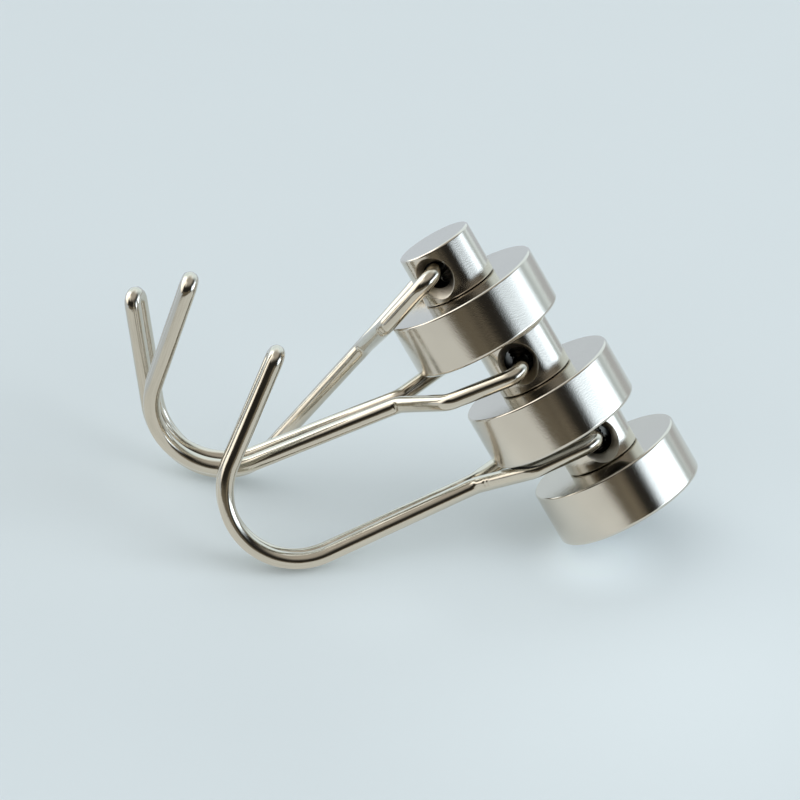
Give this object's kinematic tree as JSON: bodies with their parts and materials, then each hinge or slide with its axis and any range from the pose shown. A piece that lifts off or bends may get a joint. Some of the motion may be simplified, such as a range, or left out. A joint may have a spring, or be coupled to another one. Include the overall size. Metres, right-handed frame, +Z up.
{
  "type": "magnetic hook",
  "caption": "Magnetic swivel hooks stacked magnet on head: round pot magnets, turning heads and folded wire hooks, leaning on the lowest rim and on a wire bend.",
  "frame": {"origin": "on the table, under the middle of the leaning stack's bounding box", "axes": "+Z up from the table; +X from the wire bends towards the lowest magnet base; the picture looks along +Y and down"},
  "size_m": [0.074, 0.0328, 0.0412],
  "materials": {
    "nickel_steel": "bright nickel plate on turned steel",
    "nickel_wire": "bright nickel plate on drawn and bent steel wire",
    "magnet_nickel": "plated sintered magnet, ground faces",
    "potting_resin": "black cast epoxy resin",
    "pin_steel": "turned steel pin, plain",
    "washer_steel": "punched steel washer, plain"
  },
  "bodies": {
    "base_1": {"cup_1": "nickel_steel", "magnet_1": "magnet_nickel", "resin_ring_1": "potting_resin", "thrust_washer_1": "washer_steel"},
    "head_1": {"swivel_pin_1": "pin_steel", "swivel_head_1": "nickel_steel"},
    "wire_1": {"wire_hook_1": "nickel_wire"},
    "base_2": {"cup_2": "nickel_steel", "magnet_2": "magnet_nickel", "resin_ring_2": "potting_resin", "thrust_washer_2": "washer_steel"},
    "head_2": {"swivel_pin_2": "pin_steel", "swivel_head_2": "nickel_steel"},
    "wire_2": {"wire_hook_2": "nickel_wire"},
    "base_3": {"cup_3": "nickel_steel", "magnet_3": "magnet_nickel", "resin_ring_3": "potting_resin", "thrust_washer_3": "washer_steel"},
    "head_3": {"swivel_pin_3": "pin_steel", "swivel_head_3": "nickel_steel"},
    "wire_3": {"wire_hook_3": "nickel_wire"}
  },
  "joints": [
    {"name": "swivel_1", "type": "hinge", "parent": "base_1", "child": "head_1", "pos_m": [0.02846, -0.00643, 0.00537], "axis": [-0.4974, 0.2523, 0.83], "continuous": true},
    {"name": "swing_1", "type": "hinge", "parent": "head_1", "child": "wire_1", "pos_m": [0.02297, -0.00364, 0.01454], "axis": [-0.1119, 0.9261, -0.3602], "range_deg": [-22, 0]},
    {"name": "pull_off_2", "type": "slide", "parent": "head_1", "child": "base_2", "axis": [-0.4974, 0.2523, 0.83], "range_m": [0, 0.008]},
    {"name": "swivel_2", "type": "hinge", "parent": "base_2", "child": "head_2", "pos_m": [0.01965, -0.00686, 0.01739], "axis": [-0.4974, 0.2523, 0.83], "range_deg": [-300, 0]},
    {"name": "swing_2", "type": "hinge", "parent": "head_2", "child": "wire_2", "pos_m": [0.01415, -0.00407, 0.02656], "axis": [0.0514, 0.9912, -0.1224], "range_deg": [-16, 0]},
    {"name": "pull_off_3", "type": "slide", "parent": "head_2", "child": "base_3", "axis": [-0.4974, 0.2523, 0.83], "range_m": [0, 0.016]},
    {"name": "swivel_3", "type": "hinge", "parent": "base_3", "child": "head_3", "pos_m": [0.01007, -0.00059, 0.02691], "axis": [-0.4974, 0.2523, 0.83], "range_deg": [-300, 8]},
    {"name": "swing_3", "type": "hinge", "parent": "head_3", "child": "wire_3", "pos_m": [0.00441, 0.00228, 0.03636], "axis": [0.2984, 0.9485, -0.1064], "range_deg": [0, 216]}
  ]
}
